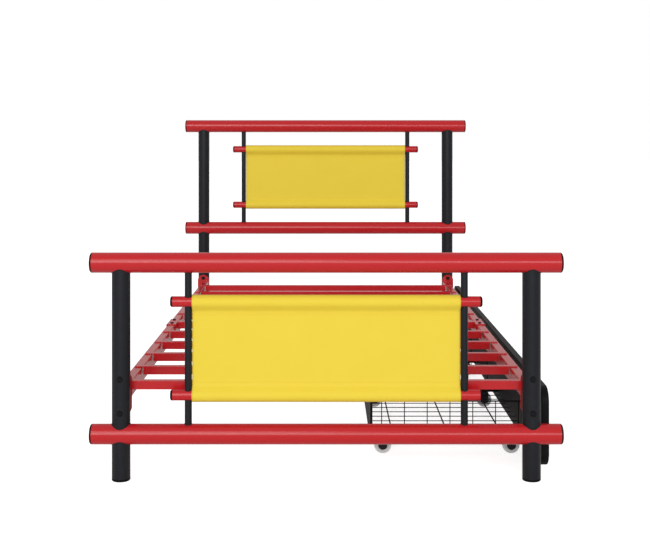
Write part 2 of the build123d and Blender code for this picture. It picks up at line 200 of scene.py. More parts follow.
def build_orange_peel():
    sockets = [("Scale", "NodeSocketFloat", 900.0), ("Depth", "NodeSocketFloat", 0.5)]
    tree, given, result = new_group("orange peel", "ShaderNodeTree", sockets,
                                    [("Height", "NodeSocketFloat")])
    place = add_node(tree, "ShaderNodeTexCoord").outputs["Object"]
    ripple = add_node(tree, "ShaderNodeTexNoise",
                      {"Vector": place, "Scale": given.outputs["Scale"], "Detail": 1.5})
    slow_scale = math_node(tree, "MULTIPLY", given.outputs["Scale"], SLOW_RIPPLE)
    slow = add_node(tree, "ShaderNodeTexNoise",
                    {"Vector": place, "Scale": slow_scale, "Detail": 1.0})
    total = math_node(tree, "ADD", ripple.outputs["Fac"], slow.outputs["Fac"])
    height = math_node(tree, "MULTIPLY", total, given.outputs["Depth"])
    tree.links.new(height, result.inputs["Height"])
    return tree


def build_scuffs():
    sockets = [("Scale", "NodeSocketFloat", 40.0), ("Amount", "NodeSocketFloat", 0.2)]
    tree, given, result = new_group("scuffs", "ShaderNodeTree", sockets,
                                    [("Mask", "NodeSocketFloat")])
    place = add_node(tree, "ShaderNodeTexCoord").outputs["Object"]
    smear = add_node(tree, "ShaderNodeMapping", {"Vector": place, "Scale": SMEAR})
    patches = add_node(tree, "ShaderNodeTexNoise",
                       {"Vector": smear.outputs[0], "Scale": given.outputs["Scale"],
                        "Detail": 6.0, "Roughness": 0.62})
    ramp = add_node(tree, "ShaderNodeMapRange",
                    {"Value": patches.outputs["Fac"], "From Min": 0.48, "From Max": 0.72})
    mask = math_node(tree, "MULTIPLY", ramp.outputs["Result"], given.outputs["Amount"], clamp=True)
    tree.links.new(mask, result.inputs["Mask"])
    return tree


orange_peel = build_orange_peel()
scuffs = build_scuffs()
print("shader groups:", orange_peel.name, "and", scuffs.name)

# %% [markdown]
# ## The metal finishes
# Each finish is a Principled shader. The groups move its colour, roughness and bump a little,
# so that a long tube isn't one dead value from end to end. The red tube shows a pink line
# where the strip lamp is mirrored, so it is the glossiest. The basket's thin wire is dipped,
# not sprayed, and comes out flatter and blacker, so it has a coat of its own.

# %% Powder coats
SCUFF_DULLING = 0.35          # how much rougher a full scuff is than fresh paint


def new_material(name):
    material = bpy.data.materials.new(name)
    material.use_nodes = True
    tree = material.node_tree
    shader = tree.nodes["Principled BSDF"]
    return material, tree, shader


def use_group(tree, group, **values):
    made = add_node(tree, "ShaderNodeGroup")
    made.node_tree = group
    for name, value in values.items():
        made.inputs[name].default_value = value
    return made


def painted(name, colour, worn_colour, roughness, peel, scuff, specular):
    """A sprayed or baked paint with fine ripple and a few dull scuffs."""
    material, tree, shader = new_material(name)
    ripple = use_group(tree, orange_peel, **peel)
    marks = use_group(tree, scuffs, **scuff)
    shade = mix_colour(tree, marks.outputs["Mask"], colour, worn_colour)
    tree.links.new(shade, shader.inputs["Base Color"])
    rough = spread(tree, marks.outputs["Mask"], roughness, roughness + SCUFF_DULLING)
    tree.links.new(rough, shader.inputs["Roughness"])
    raise_surface(tree, shader, ripple.outputs["Height"], strength=0.03, distance=0.0004)
    shader.inputs["Specular IOR Level"].default_value = specular
    return material


red_paint = painted("red powder coat", srgb(194, 29, 35), srgb(180, 34, 40), 0.22,
                    {"Scale": 700.0, "Depth": 0.6}, {"Scale": 30.0, "Amount": 0.12},
                    specular=0.36)
black_paint = painted("black powder coat", srgb(24, 26, 31), srgb(38, 39, 43), 0.36,
                      {"Scale": 900.0, "Depth": 0.7}, {"Scale": 34.0, "Amount": 0.2},
                      specular=0.22)
wire_paint = painted("black wire coat", srgb(9, 9, 10), srgb(22, 22, 23), 0.5,
                     {"Scale": 1200.0, "Depth": 0.6}, {"Scale": 60.0, "Amount": 0.25},
                     specular=0.1)
bolt_finish = painted("blackened steel", srgb(19, 20, 23), srgb(34, 34, 36), 0.55,
                      {"Scale": 1500.0, "Depth": 0.5}, {"Scale": 90.0, "Amount": 0.4},
                      specular=0.1)
print("paints:", red_paint.name, "/", black_paint.name, "/", bolt_finish.name)

# %% [markdown]
# ## Plastic and painted board
# Caps, glides and wheels are moulded plastic: duller than the paint, with a spark-eroded
# grain from the mould. The drawer fronts are painted board. Under thin paint the fibres still
# show as a soft stretched grain, which is noise squeezed along the length of the board.

# %% Plastics and board
DUST_DULLING = 0.2
FIBRE_STRETCH = (60.0, 4.0, 90.0)   # the board's fibres run along the bed


def moulded(name, colour, dust_colour, roughness, specular):
    material, tree, shader = new_material(name)
    grain = use_group(tree, orange_peel, Scale=2600.0, Depth=0.8)
    marks = use_group(tree, scuffs, Scale=70.0, Amount=0.35)
    tree.links.new(mix_colour(tree, marks.outputs["Mask"], colour, dust_colour),
                   shader.inputs["Base Color"])
    rough = spread(tree, marks.outputs["Mask"], roughness, roughness + DUST_DULLING)
    tree.links.new(rough, shader.inputs["Roughness"])
    raise_surface(tree, shader, grain.outputs["Height"], strength=0.2, distance=0.0003)
    shader.inputs["Specular IOR Level"].default_value = specular
    return material


def painted_board(name, colour, light_colour):
    material, tree, shader = new_material(name)
    place = add_node(tree, "ShaderNodeTexCoord").outputs["Object"]
    squeezed = add_node(tree, "ShaderNodeMapping", {"Vector": place, "Scale": FIBRE_STRETCH})
    fibres = add_node(tree, "ShaderNodeTexNoise",
                      {"Vector": squeezed.outputs[0], "Scale": 4.0,
                       "Detail": 5.0, "Roughness": 0.6})
    marks = use_group(tree, scuffs, Scale=16.0, Amount=0.3)
    shade = mix_colour(tree, fibres.outputs["Fac"], colour, light_colour)
    shade = mix_colour(tree, marks.outputs["Mask"], shade, srgb(36, 36, 36))
    tree.links.new(shade, shader.inputs["Base Color"])
    rough = spread(tree, fibres.outputs["Fac"], 0.38, 0.56)
    tree.links.new(rough, shader.inputs["Roughness"])
    raise_surface(tree, shader, fibres.outputs["Fac"], strength=0.25, distance=0.0003)
    shader.inputs["Specular IOR Level"].default_value = 0.07
    return material


black_plastic = moulded("black plastic", srgb(13, 13, 14), srgb(27, 27, 28), 0.55, 0.08)
wheel_plastic = moulded("pale grey plastic", srgb(238, 238, 239), srgb(210, 208, 204), 0.42, 0.3)
black_board = painted_board("black painted board", srgb(14, 15, 15), srgb(24, 25, 25))
print("plastics:", black_plastic.name, "/", wheel_plastic.name, ", board:", black_board.name)

# %% [markdown]
# ## Hand out the finishes
# The record names a material slot for every CAD node, so one table from slot to finish
# dresses the whole frame. Only the bolts differ from their slot: they are blackened steel.

# %% Give every CAD node its finish
FINISH_OF_SLOT = {
    "red_metal": red_paint,
    "black_metal": black_paint,
    "black_plastic": black_plastic,
    "black_board": black_board,
    "wheel_plastic": wheel_plastic,
}
for entry in frame["record"]["subparts"]:
    finish = FINISH_OF_SLOT.get(entry["material_slot"])
    if entry["node"] in ("post_bolts", "splice_bolts"):
        finish = bolt_finish
    if finish is not None:
        node = nodes[entry["node"]]
        node.data.materials.clear()
        node.data.materials.append(finish)
print("finishes given to the CAD nodes")

# %% [markdown]
# ## The cloth in each end frame
# A band of coated cloth is stretched between two rods. Each end of the band is folded round
# its rod, sewn back to itself in a pocket, and left with a short flap behind. So the whole
# panel is one strip, and its side view is one line: flap, seam, round the top rod, down the
# middle, round the bottom rod, seam, flap. The line is drawn once and carried along X. The
# length of the line is the length that the cloth was cut to.

# %% Draw the side view of the cloth
CLOTH_THICKNESS = 0.0022
POCKET_RADIUS = 0.0160                # from the rod's axis to the middle of the cloth
SEAM_DROP = 0.0235                    # from the rod's axis to where the pocket closes
FLAP_LENGTH = 0.014
FLAP_LAY = 1.1 * CLOTH_THICKNESS      # the flap's middle behind the web's middle
FLAP_STEPS, SIDE_STEPS, ARC_STEPS, WEB_STEPS = 5, 6, 40, 34
CREASE_ROUNDS = 2


def between(first, last, share):
    return tuple(a + (b - a) * share for a, b in zip(first, last))


def pocket_line(centre_z, up):
    """Points (y, z) from the flap's end, behind the web, round the rod to the seam."""
    seam = centre_z - up * SEAM_DROP
    flap = [(FLAP_LAY, seam - up * FLAP_LENGTH * (1 - step / FLAP_STEPS))
            for step in range(FLAP_STEPS + 1)]
    distance = math.hypot(FLAP_LAY, SEAM_DROP)
    start = math.acos(POCKET_RADIUS / distance) + math.atan2(FLAP_LAY, SEAM_DROP)
    end = 2 * math.pi - math.acos(POCKET_RADIUS / SEAM_DROP)
    arc = []
    for step in range(ARC_STEPS + 1):
        turn = start + (end - start) * step / ARC_STEPS
        arc.append((POCKET_RADIUS * math.sin(turn), centre_z - up * POCKET_RADIUS * math.cos(turn)))
    rise = [between(flap[-1], arc[0], step / SIDE_STEPS) for step in range(1, SIDE_STEPS)]
    fall = [between(arc[-1], (0.0, seam), step / SIDE_STEPS) for step in range(1, SIDE_STEPS + 1)]
    return flap + rise + arc + fall


def smooth_line(points, rounds):
    """Rounds the creases of a line while its two ends stay."""
    for _ in range(rounds):
        points = [points[0]] + [
            tuple((a[i] + 2 * b[i] + c[i]) / 4 for i in range(2))
            for a, b, c in zip(points, points[1:], points[2:])] + [points[-1]]
    return points


def cloth_line(low_z, high_z):
    top = pocket_line(high_z, 1)
    bottom = pocket_line(low_z, -1)[::-1]
    start, end = top[-1][1], bottom[0][1]
    web = [(0.0, start + (end - start) * step / WEB_STEPS) for step in range(1, WEB_STEPS)]
    return smooth_line(top + web + bottom, CREASE_ROUNDS)


print("side view ready, pocket radius", POCKET_RADIUS)

# %% [markdown]
# A stretched cloth is never quite flat. It draws in a little between the rods, short pleats
# fan out from the seams, and there is a faint slack wave in the middle. These are small moves
# in Y, so they are worked out for each point from smooth waves with fixed phases.

# %% Weave the cloth panels
CLOTH_STEPS = 134
PLEAT_DEPTH = 0.00035
PLEAT_REACH = 0.07            # how far a pleat runs from its seam, as a share of the web
SLACK_DEPTH = 0.0004
WEB_SPREAD = 0.004            # points this near the web's plane take its slack, flap included


def slack(x, part, phase):
    """How far the web leaves its plane at x, where part runs from 0 at one seam to 1."""
    middle = math.sin(math.pi * part)
    pleats = math.sin(x * 95 + phase) + 0.6 * math.sin(x * 171 + 2.3 * phase)
    near_seam = math.exp(-((min(part, 1 - part)) / PLEAT_REACH) ** 2)
    wave = math.sin(x * 11 + phase) * math.sin(3.1 * part + 0.4 * phase + x * 5)
    return PLEAT_DEPTH * pleats * near_seam * (1 - near_seam * 0.4) + SLACK_DEPTH * wave * middle


def make_panel(end_name, phase):
    y, low_z, _ = axis_of(f"{end_name}_lower_rod")
    _, high_z, _ = axis_of(f"{end_name}_upper_rod")
    box_low, box_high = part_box(f"{end_name}_fabric_panel")
    half = (box_high.x - box_low.x) / 2
    line = cloth_line(low_z, high_z)
    seams = (high_z - SEAM_DROP, low_z + SEAM_DROP)
    mesh = bpy.data.meshes.new(f"{end_name}_cloth")
    points = []
    run = [0.0]
    for a, b in zip(line, line[1:]):
        run.append(run[-1] + math.dist(a, b))
    for step in range(CLOTH_STEPS + 1):
        x = -half + 2 * half * step / CLOTH_STEPS
        for index, (dy, z) in enumerate(line):
            part = (seams[0] - z) / (seams[0] - seams[1])
            web = abs(dy) < WEB_SPREAD and 0 < part < 1
            points.append((x, y + dy + (slack(x, part, phase) if web else 0.0), z))
    count = len(line)
    faces = [(s * count + i, s * count + i + 1, (s + 1) * count + i + 1, (s + 1) * count + i)
             for s in range(CLOTH_STEPS) for i in range(count - 1)]
    mesh.from_pydata(points, [], faces)
    chart = mesh.uv_layers.new(name="cloth")
    for loop in mesh.loops:
        step, index = divmod(loop.vertex_index, count)
        chart.data[loop.index].uv = (2 * half * step / CLOTH_STEPS, run[index])
    mesh.polygons.foreach_set("use_smooth", [True] * len(mesh.polygons))
    panel = bpy.data.objects.new(f"{end_name}_cloth", mesh)
    bpy.context.scene.collection.objects.link(panel)
    wall = panel.modifiers.new("thickness", "SOLIDIFY")
    wall.thickness = CLOTH_THICKNESS
    wall.offset = 0.0
    print(f"{end_name} cloth: {2 * half:.3f} m wide, cut {run[-1]:.3f} m long")
    return panel, 2 * half, run[-1]


foot_cloth, foot_width, foot_cut = make_panel("foot", 0.7)
head_cloth, head_width, head_cut = make_panel("head", 2.1)

# %% [markdown]
# ## The cloth's material
# Up close the cloth is a plain weave under a thin soft coating. The panel carries its own UV
# map in metres, with U along the rods and V along the cut, so two sets of waves make warp and
# weft that follow the cloth round the rods. The weave group gives out only a height and a colour
# mask. The mask is painted shade and highlight: the gaps between threads come out darker and the
# crossings lighter, and slow patches add the cloth's own uneven tone. A little sheen is set on
# the shader's own socket.

# %% Weave the material
THREAD_PITCH = 0.0011


def build_weave():
    sockets = [("Thread", "NodeSocketFloat", THREAD_PITCH), ("Fuzz", "NodeSocketFloat", 0.25)]
    tree, given, result = new_group("plain weave", "ShaderNodeTree", sockets,
                                    [("Height", "NodeSocketFloat"), ("Shade", "NodeSocketFloat")])
    chart = add_node(tree, "ShaderNodeUVMap", uv_map="cloth")
    axes = add_node(tree, "ShaderNodeSeparateXYZ", {"Vector": chart.outputs["UV"]})
    turns = math_node(tree, "DIVIDE", math.pi, given.outputs["Thread"])
    warp = math_node(tree, "SINE", math_node(tree, "MULTIPLY", axes.outputs["X"], turns))
    weft = math_node(tree, "SINE", math_node(tree, "MULTIPLY", axes.outputs["Y"], turns))
    crossing = math_node(tree, "MULTIPLY", warp, weft)
    high = math_node(tree, "ABSOLUTE", crossing)
    fuzz = add_node(tree, "ShaderNodeTexNoise",
                    {"Vector": chart.outputs["UV"], "Scale": 1400.0, "Detail": 2.0})
    extra = math_node(tree, "MULTIPLY", fuzz.outputs["Fac"], given.outputs["Fuzz"])
    tree.links.new(math_node(tree, "ADD", high, extra), result.inputs["Height"])
    patches = add_node(tree, "ShaderNodeTexNoise",
                       {"Vector": chart.outputs["UV"], "Scale": 9.0, "Detail": 4.0})
    slow = math_node(tree, "MULTIPLY", patches.outputs["Fac"], 0.3)
    # Painted shade and highlight: the thread gaps are darker and the crossings lighter; the slow
    # patches are the cloth's own uneven tone.
    shade = math_node(tree, "MULTIPLY_ADD", high, 0.6, slow)
    tree.links.new(shade, result.inputs["Shade"])
    return tree


plain_weave = build_weave()


def make_cloth_material():
    material, tree, shader = new_material("yellow coated cloth")
    weave = use_group(tree, plain_weave, Thread=THREAD_PITCH, Fuzz=0.3)
    # The darker yellow follows the weave's gaps as painted shade, and the lighter yellow its
    # crossings as painted highlight.
    shade = mix_colour(tree, weave.outputs["Shade"], srgb(235, 205, 53), srgb(245, 223, 80))
    tree.links.new(shade, shader.inputs["Base Color"])
    raise_surface(tree, shader, weave.outputs["Height"], strength=0.35, distance=0.0003)
    shader.inputs["Roughness"].default_value = 0.62
    shader.inputs["Specular IOR Level"].default_value = 0.25
    shader.inputs["Sheen Weight"].default_value = 0.06
    shader.inputs["Sheen Roughness"].default_value = 0.5
    return material


yellow_cloth = make_cloth_material()
for cloth, end_name, width, cut in ((foot_cloth, "foot", foot_width, foot_cut),
                                    (head_cloth, "head", head_width, head_cut)):
    cloth.data.materials.append(yellow_cloth)
    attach(cloth, "bed_frame")
    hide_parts(f"{end_name}_fabric_panel")

# %% [markdown]
# ## Details that repeat along a path
# A weld is a row of small overlapping beads, and a seam is a row of stitches. Both are the
# same recipe: walk along a path, drop a rounded bead at every step and turn it to follow the
# path. That recipe is a Geometry Nodes tree, so the bead's size, step and material are inputs.
# The tree is built once and reused, and its result is turned into a plain mesh.

# %% The bead tree


def sockets_of(tree, inputs):
    tree.interface.new_socket("Geometry", in_out="INPUT", socket_type="NodeSocketGeometry")
    for name, kind in inputs:
        tree.interface.new_socket(name, in_out="INPUT", socket_type=kind)
    tree.interface.new_socket("Geometry", in_out="OUTPUT", socket_type="NodeSocketGeometry")
    return tree.nodes.new("NodeGroupInput"), tree.nodes.new("NodeGroupOutput")


def end_tree(tree, shape, given, result):
    """Makes the copies real, smooths them and gives them the material that was asked for."""
    real = add_node(tree, "GeometryNodeRealizeInstances", {"Geometry": shape})
    smooth = add_node(tree, "GeometryNodeSetShadeSmooth", {"Geometry": real.outputs[0]})
    finish = add_node(tree, "GeometryNodeSetMaterial",
                      {"Geometry": smooth.outputs[0], "Material": given.outputs["Material"]})
    tree.links.new(finish.outputs[0], result.inputs[0])


def build_bead_tree():
    tree = bpy.data.node_groups.new("beads along a path", "GeometryNodeTree")
    given, result = sockets_of(tree, [("Step", "NodeSocketFloat"), ("Bead", "NodeSocketVector"),
                                      ("Material", "NodeSocketMaterial")])
    path = add_node(tree, "GeometryNodeMeshToCurve", {"Mesh": given.outputs["Geometry"]})
    stops = add_node(tree, "GeometryNodeCurveToPoints",
                     {"Curve": path.outputs[0], "Length": given.outputs["Step"]}, mode="LENGTH")
    ball = add_node(tree, "GeometryNodeMeshUVSphere", {"Segments": 7, "Rings": 4, "Radius": 1.0})
    bead = add_node(tree, "GeometryNodeTransform",
                    {"Geometry": ball.outputs["Mesh"], "Scale": given.outputs["Bead"]})
    placed = add_node(tree, "GeometryNodeInstanceOnPoints",
                      {"Points": stops.outputs["Points"], "Instance": bead.outputs[0],
                       "Rotation": stops.outputs["Rotation"]})
    end_tree(tree, placed.outputs[0], given, result)
    return tree


def run_tree(name, tree, source, values):
    """Runs a tree on a source mesh and returns the result as a plain mesh."""
    carrier = bpy.data.objects.new(name, source)
    bpy.context.scene.collection.objects.link(carrier)
    modifier = carrier.modifiers.new("nodes", "NODES")
    modifier.node_group = tree
    for item in tree.interface.items_tree:
        if item.in_out == "INPUT" and item.name in values:
            modifier[item.identifier] = values[item.name]
    graph = bpy.context.evaluated_depsgraph_get()
    made = bpy.data.meshes.new_from_object(carrier.evaluated_get(graph))
    made.name = name
    bpy.data.objects.remove(carrier)
    return made


def path_mesh(name, paths):
    """Paths as a mesh of edges; a path is (points, closed)."""
    points, edges = [], []
    for line, closed in paths:
        first = len(points)
        points += line
        edges += [(first + i, first + i + 1) for i in range(len(line) - 1)]
        if closed:
            edges.append((len(points) - 1, first))
    mesh = bpy.data.meshes.new(name)
    mesh.from_pydata(points, edges, [])
    return mesh


def place_piece(name, mesh, body):
    piece = bpy.data.objects.new(name, mesh)
    bpy.context.scene.collection.objects.link(piece)
    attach(piece, body)
    print(f"{name}: {len(mesh.polygons)} faces on {body}")
    return piece


bead_tree = build_bead_tree()
print("tree:", bead_tree.name)

# %% [markdown]
# ## The welds of the end frames
# Each post ends in a saddle cut that sits round its rail, and the weld runs round that curve.
# A point on it is on both tubes at once: go round the post, then find the height at which the
# rail's own circle passes. The thin spindles have the same curve, only smaller.

# %% Weld beads round every post and spindle
WELD_BEAD = (0.0012, 0.0012, 0.0016)
WELD_STEP = 0.0021
SADDLE_STEPS = 48


def saddle(centre_x, centre_y, radius, rail, up):
    """The closed curve where an upright tube meets the top or the underside of a rail."""
    rail_y, rail_z, rail_radius = rail
    line = []
    for step in range(SADDLE_STEPS):
        turn = 2 * math.pi * step / SADDLE_STEPS
        x = centre_x + radius * math.cos(turn)
        y = centre_y + radius * math.sin(turn)
        rise = math.sqrt(max(rail_radius ** 2 - (y - rail_y) ** 2, 0.0))
        line.append((x, y, rail_z + up * rise))
    return line, True


def frame_saddles():
    lines = []
    for low_rail, high_rail in (("foot_lower_rail", "foot_top_rail"),
                                ("head_middle_rail", "head_top_rail")):
        low, high = axis_of(low_rail), axis_of(high_rail)
        end_name = low_rail.split("_")[0]
        for side in ("left", "right"):
            x, y, radius = upright_of(f"{end_name}_post_{side}")
            lines += [saddle(x, y, radius, low, 1), saddle(x, y, radius, high, -1),
                      saddle(x, y, radius, low, -1)]
        box_low, box_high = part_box(f"{end_name}_spindles")
        radius = (box_high.y - box_low.y) / 2
        for x in (box_low.x + radius, box_high.x - radius):
            y = (box_low.y + box_high.y) / 2
            lines += [saddle(x, y, radius, low, 1), saddle(x, y, radius, high, -1)]
    return lines


weld_mesh = run_tree("frame_welds", bead_tree,
                     path_mesh("frame_weld_paths", frame_saddles()),
                     {"Step": WELD_STEP, "Bead": WELD_BEAD, "Material": black_paint})
place_piece("frame_welds", weld_mesh, "bed_frame")

# %% [markdown]
# The slats lie on the side rails with a flat tab at each end, and a short bead across the
# tab's tip holds it. The brackets are welded to the rails' ends, so a bead runs up both sides
# of each rail there. All of it is under the same red coat.

# %% Weld beads on the slat tabs and rail ends
WELD_INSET = 0.003            # a bead stops this far from a corner
TAB_WELD_RISE = 0.0004        # of a bead's middle above the rail
RAISED_SLATS = range(2, 12)   # the first slat sits lower, between the rails
TAB_REACH = 0.005             # a slat that reaches less far over the rail has no tabs


def tab_lines():
    lines = []
    rail_low, rail_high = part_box("side_rail_right_foot")
    for number in RAISED_SLATS:
        low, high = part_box(f"slat_{number:02d}")
        if high.x < rail_low.x + TAB_REACH:
            continue          # the middle slat, which has sleeves instead of tabs
        for x in (low.x, high.x):
            lines.append(([(x, low.y + WELD_INSET, rail_high.z + TAB_WELD_RISE),
                           (x, high.y - WELD_INSET, rail_high.z + TAB_WELD_RISE)], False))
    return lines


def rail_end_lines():
    lines = []
    for side in ("left", "right"):
        for end_name in ("foot", "head"):
            low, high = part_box(f"side_rail_{side}_{end_name}")
            y = low.y if end_name == "foot" else high.y
            for x in (low.x, high.x):
                lines.append(([(x, y, low.z + WELD_INSET), (x, y, high.z - WELD_INSET)], False))
    return lines


red_weld_mesh = run_tree("base_welds", bead_tree,
                         path_mesh("base_weld_paths", tab_lines() + rail_end_lines()),
                         {"Step": WELD_STEP, "Bead": WELD_BEAD, "Material": red_paint})
place_piece("base_welds", red_weld_mesh, "bed_frame")

# %% [markdown]
# ## The stitches of the cloth
# Two rows of yellow thread close each pocket, seen on the front of the web and again on the
# flap behind it. A stitch is a long thin bead that lies along the row. The rows ask the same
# function as the cloth for its slack, so no stitch floats or sinks where a pleat rises.

# %% Sew the pockets
THREAD_BEAD = (0.00055, 0.00055, 0.0018)
STITCH_STEP = 0.0046
ROW_DROPS = (0.0035, 0.0085)  # the two rows, from the seam into the web
THREAD_RISE = 0.0002          # of a stitch's middle above the cloth


def make_thread_material():
    material, tree, shader = new_material("yellow thread")
    place = add_node(tree, "ShaderNodeTexCoord").outputs["Object"]
    ply = add_node(tree, "ShaderNodeTexWave", {"Vector": place, "Scale": 900.0, "Distortion": 1.0})
    shade = mix_colour(tree, ply.outputs["Fac"], srgb(228, 190, 44), srgb(246, 216, 76))
    tree.links.new(shade, shader.inputs["Base Color"])
    shader.inputs["Roughness"].default_value = 0.55
    return material


def stitch_rows(end_name, half, phase):
    y, low_z, _ = axis_of(f"{end_name}_lower_rod")
    _, high_z, _ = axis_of(f"{end_name}_upper_rod")
    seams = (high_z - SEAM_DROP, low_z + SEAM_DROP)
    lines = []
    for seam, up in ((seams[0], 1), (seams[1], -1)):
        for drop in ROW_DROPS:
            z = seam - up * drop
            part = (seams[0] - z) / (seams[0] - seams[1])
            for side in (-1, 1):
                lift = CLOTH_THICKNESS / 2 + THREAD_RISE + (FLAP_LAY if side > 0 else 0)
                line = []
                for step in range(1, CLOTH_STEPS):
                    x = -half + 2 * half * step / CLOTH_STEPS
                    line.append((x, y + side * lift + slack(x, part, phase), z))
                lines.append((line, False))
    return lines


yellow_thread = make_thread_material()
for cloth, end_name, width, phase in ((foot_cloth, "foot", foot_width, 0.7),
                                      (head_cloth, "head", head_width, 2.1)):
    rows = path_mesh(f"{end_name}_stitch_rows", stitch_rows(end_name, width / 2, phase))
    thread = run_tree(f"{end_name}_stitches", bead_tree, rows,
                      {"Step": STITCH_STEP, "Bead": THREAD_BEAD, "Material": yellow_thread})
    place_piece(f"{end_name}_stitches", thread, "bed_frame")

# %% [markdown]
# ## The wire baskets
# A basket is round wire, spot-welded wherever two wires cross. The CAD model has each wire as
# an eight-sided bar. A bar that touches no other is an island in the CAD mesh, so walking from
# point to point along the edges gathers one bar at a time. Its box gives its line and radius.

# %% Find the bars of a CAD node
MERGE_DISTANCE = 1e-6


def islands_of(node):
    """The lowest and highest corner of each separate solid in a node."""
    work = bmesh.new()
    work.from_mesh(nodes[node].data)
    bmesh.ops.remove_doubles(work, verts=work.verts, dist=MERGE_DISTANCE)
    seen, boxes = set(), []
    for start in work.verts:
        if start.index in seen:
            continue
        seen.add(start.index)
        group, queue = [], [start]
        while queue:
            vert = queue.pop()
            group.append(vert.co.copy())
            for edge in vert.link_edges:
                other = edge.other_vert(vert)
                if other.index not in seen:
                    seen.add(other.index)
                    queue.append(other)
        low = Vector([min(co[i] for co in group) for i in range(3)])
        high = Vector([max(co[i] for co in group) for i in range(3)])
        boxes.append((low, high))
    work.free()
    return boxes


def bar_of(low, high):
    """The middle line and the radius of a straight bar, from its box."""
    size = high - low
    along = max(range(3), key=lambda i: size[i])
    middle = (low + high) / 2
    start, end = middle.copy(), middle.copy()
    start[along], end[along] = low[along], high[along]
    radius = min(size) / 2
    return tuple(start), tuple(end), round(radius, 5)


print("bars in one basket:", len(islands_of("drawer_1_wire_basket")))

# %% [markdown]
# A round wire is a circle carried along a line, which is what Curve to Mesh does. The wires
# of one size share one run of the tree. Where two bars nearly touch, two beads of the weld
# tree make a small flattened spot weld. All of a basket becomes one piece on its drawer.

# %% Draw the round wires and their spot welds
WIRE_SIDES = 14
TOUCH = 0.00025               # bars closer than twice this are welded
SPOT_HALF = 0.0006            # half the length of a spot weld's path
SPOT_STEP = 0.0012
SPOT_BEAD = (0.0015, 0.0015, 0.0011)


def build_wire_tree():
    tree = bpy.data.node_groups.new("round wire", "GeometryNodeTree")
    given, result = sockets_of(tree, [("Radius", "NodeSocketFloat"),
                                      ("Material", "NodeSocketMaterial")])
    path = add_node(tree, "GeometryNodeMeshToCurve", {"Mesh": given.outputs["Geometry"]})
    ring = add_node(tree, "GeometryNodeCurvePrimitiveCircle",
                    {"Resolution": WIRE_SIDES, "Radius": given.outputs["Radius"]})
    wire = add_node(tree, "GeometryNodeCurveToMesh",
                    {"Curve": path.outputs[0], "Profile Curve": ring.outputs["Curve"],
                     "Fill Caps": True})
    end_tree(tree, wire.outputs[0], given, result)
    return tree


def joined(name, meshes):
    whole = bmesh.new()
    for mesh in meshes:
        whole.from_mesh(mesh)
    made = bpy.data.meshes.new(name)
    whole.to_mesh(made)
    whole.free()
    for material in meshes[0].materials:
        made.materials.append(material)
    return made


def spot_welds(boxes):
    """Short paths across each place where two bars touch or nearly touch."""
    reach = Vector((TOUCH,) * 3)
    marks = []
    for index, (low_a, high_a) in enumerate(boxes):
        for low_b, high_b in boxes[index + 1:]:
            low = Vector([max(a, b) for a, b in zip(low_a - reach, low_b - reach)])
            high = Vector([min(a, b) for a, b in zip(high_a + reach, high_b + reach)])
            if all(low[i] <= high[i] for i in range(3)):
                middle = (low + high) / 2
                step = Vector((SPOT_HALF, 0, 0))
                marks.append(([tuple(middle - step), tuple(middle + step)], False))
    return marks


wire_tree = build_wire_tree()
for drawer in ("drawer_1", "drawer_2"):
    boxes = islands_of(f"{drawer}_wire_basket")
    bars = [bar_of(low, high) for low, high in boxes]
    meshes = []
    for radius in sorted({bar[2] for bar in bars}):
        lines = [([start, end], False) for start, end, size in bars if size == radius]
        meshes.append(run_tree(f"{drawer}_wires", wire_tree, path_mesh("wire_paths", lines),
                               {"Radius": radius, "Material": wire_paint}))
    spots = spot_welds(boxes)
    meshes.append(run_tree(f"{drawer}_spots", bead_tree, path_mesh("spot_paths", spots),
                           {"Step": SPOT_STEP, "Bead": SPOT_BEAD, "Material": wire_paint}))
    basket_mesh = joined(f"{drawer}_basket", meshes)
    basket = place_piece(f"{drawer}_basket", basket_mesh, drawer)
    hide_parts(f"{drawer}_wire_basket")
    print(drawer, "has", len(bars), "wires and", len(spots), "spot welds")

# %% [markdown]
# ## The wheels
# Each wheel is moulded in one: a crowned tread, a hub round the axle and a thin web between
# them, stiffened by ribs. The round part is a closed outline turned about the axle. Only half
# of the outline is listed, and the other half is its mirror image in Y.

# %% Turn the round part of a wheel
TURN_STEPS = 56
BORE_RADIUS = 0.00308
HUB_WALL = 0.0042
WEB_RECESS = 0.0028           # the web's face, in from the wheel's side


def turned(profile, steps):
    """Turns a closed (radius, y) profile about Y into a ring-shaped mesh."""
    work = bmesh.new()
    rings = []
    for step in range(steps):
        turn = 2 * math.pi * step / steps
        rings.append([work.verts.new((r * math.cos(turn), y, r * math.sin(turn)))
                      for r, y in profile])
    count = len(profile)
    for step in range(steps):
        near, far = rings[step], rings[(step + 1) % steps]
        for i in range(count):
            j = (i + 1) % count
            work.faces.new((near[i], near[j], far[j], far[i]))
    bmesh.ops.recalc_face_normals(work, faces=work.faces)
    mesh = bpy.data.meshes.new("turned")
    work.to_mesh(mesh)
    work.free()
    return mesh


def wheel_profile(radius, half, bore):
    """A closed outline from the bore out over one face, the tread and back."""
    hub_face, web_face = half - 0.0002, half - WEB_RECESS
    side = [(bore, hub_face), (bore + HUB_WALL, hub_face), (bore + HUB_WALL + 0.0004, web_face),
            (radius * 0.70, web_face), (radius * 0.75, half - 0.0004), (radius * 0.88, half),
            (radius * 0.955, half - 0.0007), (radius * 0.99, half - 0.0026), (radius, half * 0.35)]
    return side + [(r, -y) for r, y in reversed(side)]


tread_low, tread_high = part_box("drawer_1_wheel_1")
wheel_radius = (tread_high.z - tread_low.z) / 2
wheel_half = (tread_high.y - tread_low.y) / 2
round_part = turned(wheel_profile(wheel_radius, wheel_half, BORE_RADIUS), TURN_STEPS)
round_part.polygons.foreach_set("use_smooth", [True] * len(round_part.polygons))
print("round part:", len(round_part.polygons), "faces, radius", round(wheel_radius, 4))

